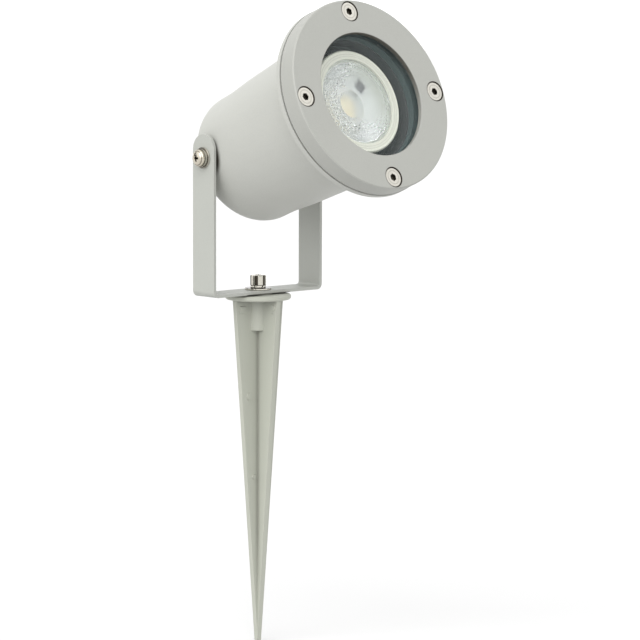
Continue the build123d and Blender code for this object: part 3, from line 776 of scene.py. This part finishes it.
def from_screw(finish):
    """Distance from the axis of the nearest of the four ring screws."""
    local = in_head(finish)
    across, up = (abs(finish.part(local, axis)) for axis in "XY")
    far = finish.node("ShaderNodeMath", {"operation": "MAXIMUM"}, {0: across, 1: up})
    near = finish.node("ShaderNodeMath", {"operation": "MINIMUM"}, {0: across, 1: up})
    return finish.reach(finish.node("ShaderNodeCombineXYZ", {}, {"X": far - screw_circle, "Y": near}))


def ring_lip_and_joint_shade(finish):
    """Painted shade: the thin dark line round each ring screw, and the dark inner wall of the ring's lip,
    darker at its top.
    """
    local = in_head(finish)
    shade = lip_share + lip_top_share * finish.ramp(finish.part(local, "Y"), *lip_top_fade)
    lip = finish.fall(finish.reach(local), *lip_fade) * shade
    return finish.fall(abs(from_screw(finish) - screw_radius), *joint_fade) + lip


def socket_shade_and_turned_line(finish):
    """Painted shade in the sockets of the ring screws and at the heads' edge, and a turned line on their
    heads.
    """
    distance = from_screw(finish)
    depth = front_of("bezel_screws") - finish.part(in_head(finish), "Z")
    deep = finish.ramp(depth, *socket_mouth) * finish.fall(depth, *socket_floor)
    socket = deep * finish.fall(distance, *socket_fade)
    turned = finish.fall(abs(distance - turned_radius), *turned_fade)
    return socket_share * socket + turned_share * turned + finish.ramp(distance, *head_edge_fade)


ring_coat = powder_coat("ring_coat", ring_light, ring_dark, ring_lip_and_joint_shade)
ring_nickel = plated("ring_nickel", screw_light, screw_dark, screw_roughness, socket_shade_and_turned_line)
softened("front_bezel", "front_ring", ring_edge, ring_coat)
softened("bezel_screws", "ring_screws", screw_edge, ring_nickel)

# Pivot screws: pan-head screws with a cross recess, each with a split washer and a flat washer.
# They clamp the bracket's arms to the housing's side bosses, so the head stays at the angle it is set to.
side_roughness = 0.18
side_seam_share = 0.75
washer_edge = 0.3 * MM
pan_light = (0.78, 0.74, 0.64, 1)
pan_dark = (0.40, 0.35, 0.27, 1)
pan_roughness = 0.2
pan_edge = 0.08 * MM
pan_edge_steps = 2
pan_seat = 36.5 * MM
pan_wall = 0.7 * MM
pan_rise = 1.8 * MM
pan_top = pan_wall + pan_rise
pan_steps = 10
pan_sides = 40
shank_radius = 2.0 * MM
cross_half = 2.0 * MM
cross_width = 0.6 * MM
cross_depth = 1.5 * MM
cross_taper = 0.55
# The recess is darkened from a depth on as painted shade, and a painted dark reflection runs round as a line
# near the edge of the head, in head radii.
recess_depth = (0.35 * MM, 0.8 * MM)
recess_fade = (2.1 * MM, 2.3 * MM)
dark_reflection_line = 0.84
dark_reflection_fade = (0.03, 0.09)
dark_reflection_share = 0.6
screw_points = [point.co - pivot for point in nodes["pivot_screws"].data.vertices]
shank_end = min(abs(point.x) for point in screw_points) - pan_seat
pan_radius = max(hypot(point.y, point.z) for point in screw_points)


def side_seam_shade(finish):
    """Painted shade in the seams between the bracket's arms, the side washers and the screw heads."""
    stack = ("u_bracket", "pivot_flat_washers", "pivot_spring_washers")
    return side_seam_share * seam_shade(finish, "X", [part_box(node)[1].x for node in stack])


def pivot_shade_and_reflection(finish):
    """Painted shade in the cross recesses of the pivot screws and the side seams, and a painted dark
    reflection as a line near the edge of their heads.
    """
    radius, outward = from_pivot(finish)
    deep = finish.ramp(pan_seat + pan_top - outward, *recess_depth)
    recess = deep * finish.fall(radius, *recess_fade)
    line_start, line_end = (share * pan_radius for share in dark_reflection_fade)
    line = finish.fall(abs(radius - dark_reflection_line * pan_radius), line_start, line_end)
    on_dome = finish.ramp(outward, pan_seat, pan_seat + pan_wall)
    return recess + dark_reflection_share * line * on_dome + side_seam_shade(finish)


def cross_tool():
    """The cross of a driver's tip, which tapers to its end and stands over the top of the screw's head."""
    rim = []
    for side in range(4):
        turn = Matrix.Rotation(tau / 4 * side, 2)
        arm = ((cross_half, -cross_width), (cross_half, cross_width), (cross_width, cross_width))
        rim += [turn @ Vector(corner) for corner in arm]
    count = len(rim)
    low = [(corner.x * cross_taper, corner.y * cross_taper, pan_top - cross_depth) for corner in rim]
    high = [(corner.x, corner.y, pan_top + pan_wall) for corner in rim]
    ends = [list(range(count))[::-1], list(range(count, 2 * count))]
    walls = [[i, (i + 1) % count, count + (i + 1) % count, count + i] for i in range(count)]
    return new_piece("cross", new_mesh("cross", low + high, ends + walls))


side_plate = plated("side_plate", plate_light, plate_dark, side_roughness, side_seam_shade)
for node in ("pivot_spring_washers", "pivot_flat_washers"):
    softened(node, node.replace("pivot_", "side_"), washer_edge, side_plate)
pan_nickel = plated("pan_nickel", pan_light, pan_dark, pan_roughness, pivot_shade_and_reflection)
pan_arc = [tau / 4 * step / pan_steps for step in range(pan_steps)]
pan_outline = [(0, shank_end), (shank_radius, shank_end), (shank_radius, 0), (pan_radius, 0)]
pan_outline += [(pan_radius * cos(step), pan_wall + pan_rise * sin(step)) for step in pan_arc]
pan_outline.append((0, pan_top))
screws = new_piece("side_screws", new_mesh("side_screws", *lathe(pan_outline, pan_sides)))
carved(screws, cross_tool())
round_edges(screws, pan_edge, pan_edge_steps)
screws.data.transform(Matrix.Translation((pan_seat, 0, 0)) @ Matrix.Rotation(tau / 4, 4, "Y"))
ring_of(screws, 2, 0.0, pan_nickel)
screws.data.transform(Matrix.Translation(pivot))
stand_in(screws, pan_nickel, "pivot_screws")

# Floor: a wide pale sheet, as a studio has under a small object.
# It lies just below the spike's tip, so that nothing of the light goes through it.
floor_half = 6.0
floor_light = (0.610, 0.610, 0.610, 1)
floor_dark = (0.595, 0.595, 0.595, 1)
floor_roughness = 0.8
floor_grain = 0.4
floor_gap = 0.5 * MM
floor_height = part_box("ground_spike")[0].z - floor_gap
corner_signs = ((-1, -1), (1, -1), (1, 1), (-1, 1))
floor_corners = [(x * floor_half, y * floor_half, floor_height) for x, y in corner_signs]
floor = new_piece("floor", new_mesh("floor", floor_corners, [[0, 1, 2, 3]]))
floor_finish = Finish("pale_floor", {"Roughness": floor_roughness})
floor_finish.feed("Base Color", floor_finish.blend(floor_dark, floor_light, floor_finish.grain(floor_grain)))
floor.data.materials.append(floor_finish.material)

# Camera: it stands where the photograph was taken, in front of the light and to one side, a little above
# the head, with a long lens and a slight roll.
camera_place = Vector((-1.0897, -1.2478, 0.1753))
camera_aim = Vector((0.02136, -0.02064, -0.01005))
camera_roll = radians(0.17)
focal_length = 195.6
sensor_width = 36.0
view_end = 50
scene = bpy.context.scene
camera_data = bpy.data.cameras.new("camera")
camera_data.lens = focal_length
camera_data.sensor_width = sensor_width
camera_data.clip_end = view_end
camera = bpy.data.objects.new("camera", camera_data)
scene.collection.objects.link(camera)
camera.location = camera_place
camera.rotation_euler = (camera_aim - camera_place).to_track_quat("-Z", "Y").to_euler()
camera.rotation_euler.rotate_axis("Z", camera_roll)
scene.camera = camera

# Light: a white surround with three dark upright panels, one near the camera and one at each side, which show
# in bright metal, and one wide soft lamp from the upper left.
surround_white = (1.0, 1.0, 1.0, 1)
surround_dark = (0.03, 0.03, 0.03, 1)
surround_strength = 1.35
# Each panel's bearing from the camera and half its width, in degrees; it is full dark over a share of that.
panels = ((-19, 14), (-109, 16), (98, 10))
panel_core = 0.6
panel_top_fade = (0.30, 0.60)
key_from = Vector((-0.74, -0.28, 0.61))
key_strength = 2.1
key_spread = radians(66)
scene.view_settings.view_transform = "Standard"
scene.world = bpy.data.worlds.new("studio")
scene.world.use_nodes = True
studio = Tree(scene.world.node_tree)
direction = studio.node("ShaderNodeTexCoord", out="Generated")
to_camera = (camera_place - camera_aim).normalized()
to_right = Vector((0, 0, 1)).cross(to_camera)
ahead, beside = (
    studio.node("ShaderNodeVectorMath", {"operation": "DOT_PRODUCT"}, {0: direction, 1: way}, "Value")
    for way in (to_camera, to_right))
bearing = studio.node("ShaderNodeMath", {"operation": "ARCTAN2"}, {0: beside, 1: ahead})
panel_shade = sum(studio.fall(abs(bearing - radians(middle)), radians(panel_core * half), radians(half))
                  for middle, half in panels)
panel_shade = panel_shade * studio.fall(studio.part(direction, "Z"), *panel_top_fade)
surround = studio.nodes["Background"]
surround.inputs["Strength"].default_value = surround_strength
studio.join(studio.blend(surround_white, surround_dark, panel_shade), surround.inputs["Color"])
key_data = bpy.data.lights.new("key", "SUN")
key_data.energy = key_strength
key_data.angle = key_spread
key = bpy.data.objects.new("key", key_data)
scene.collection.objects.link(key)
key.rotation_euler = key_from.to_track_quat("Z", "Y").to_euler()
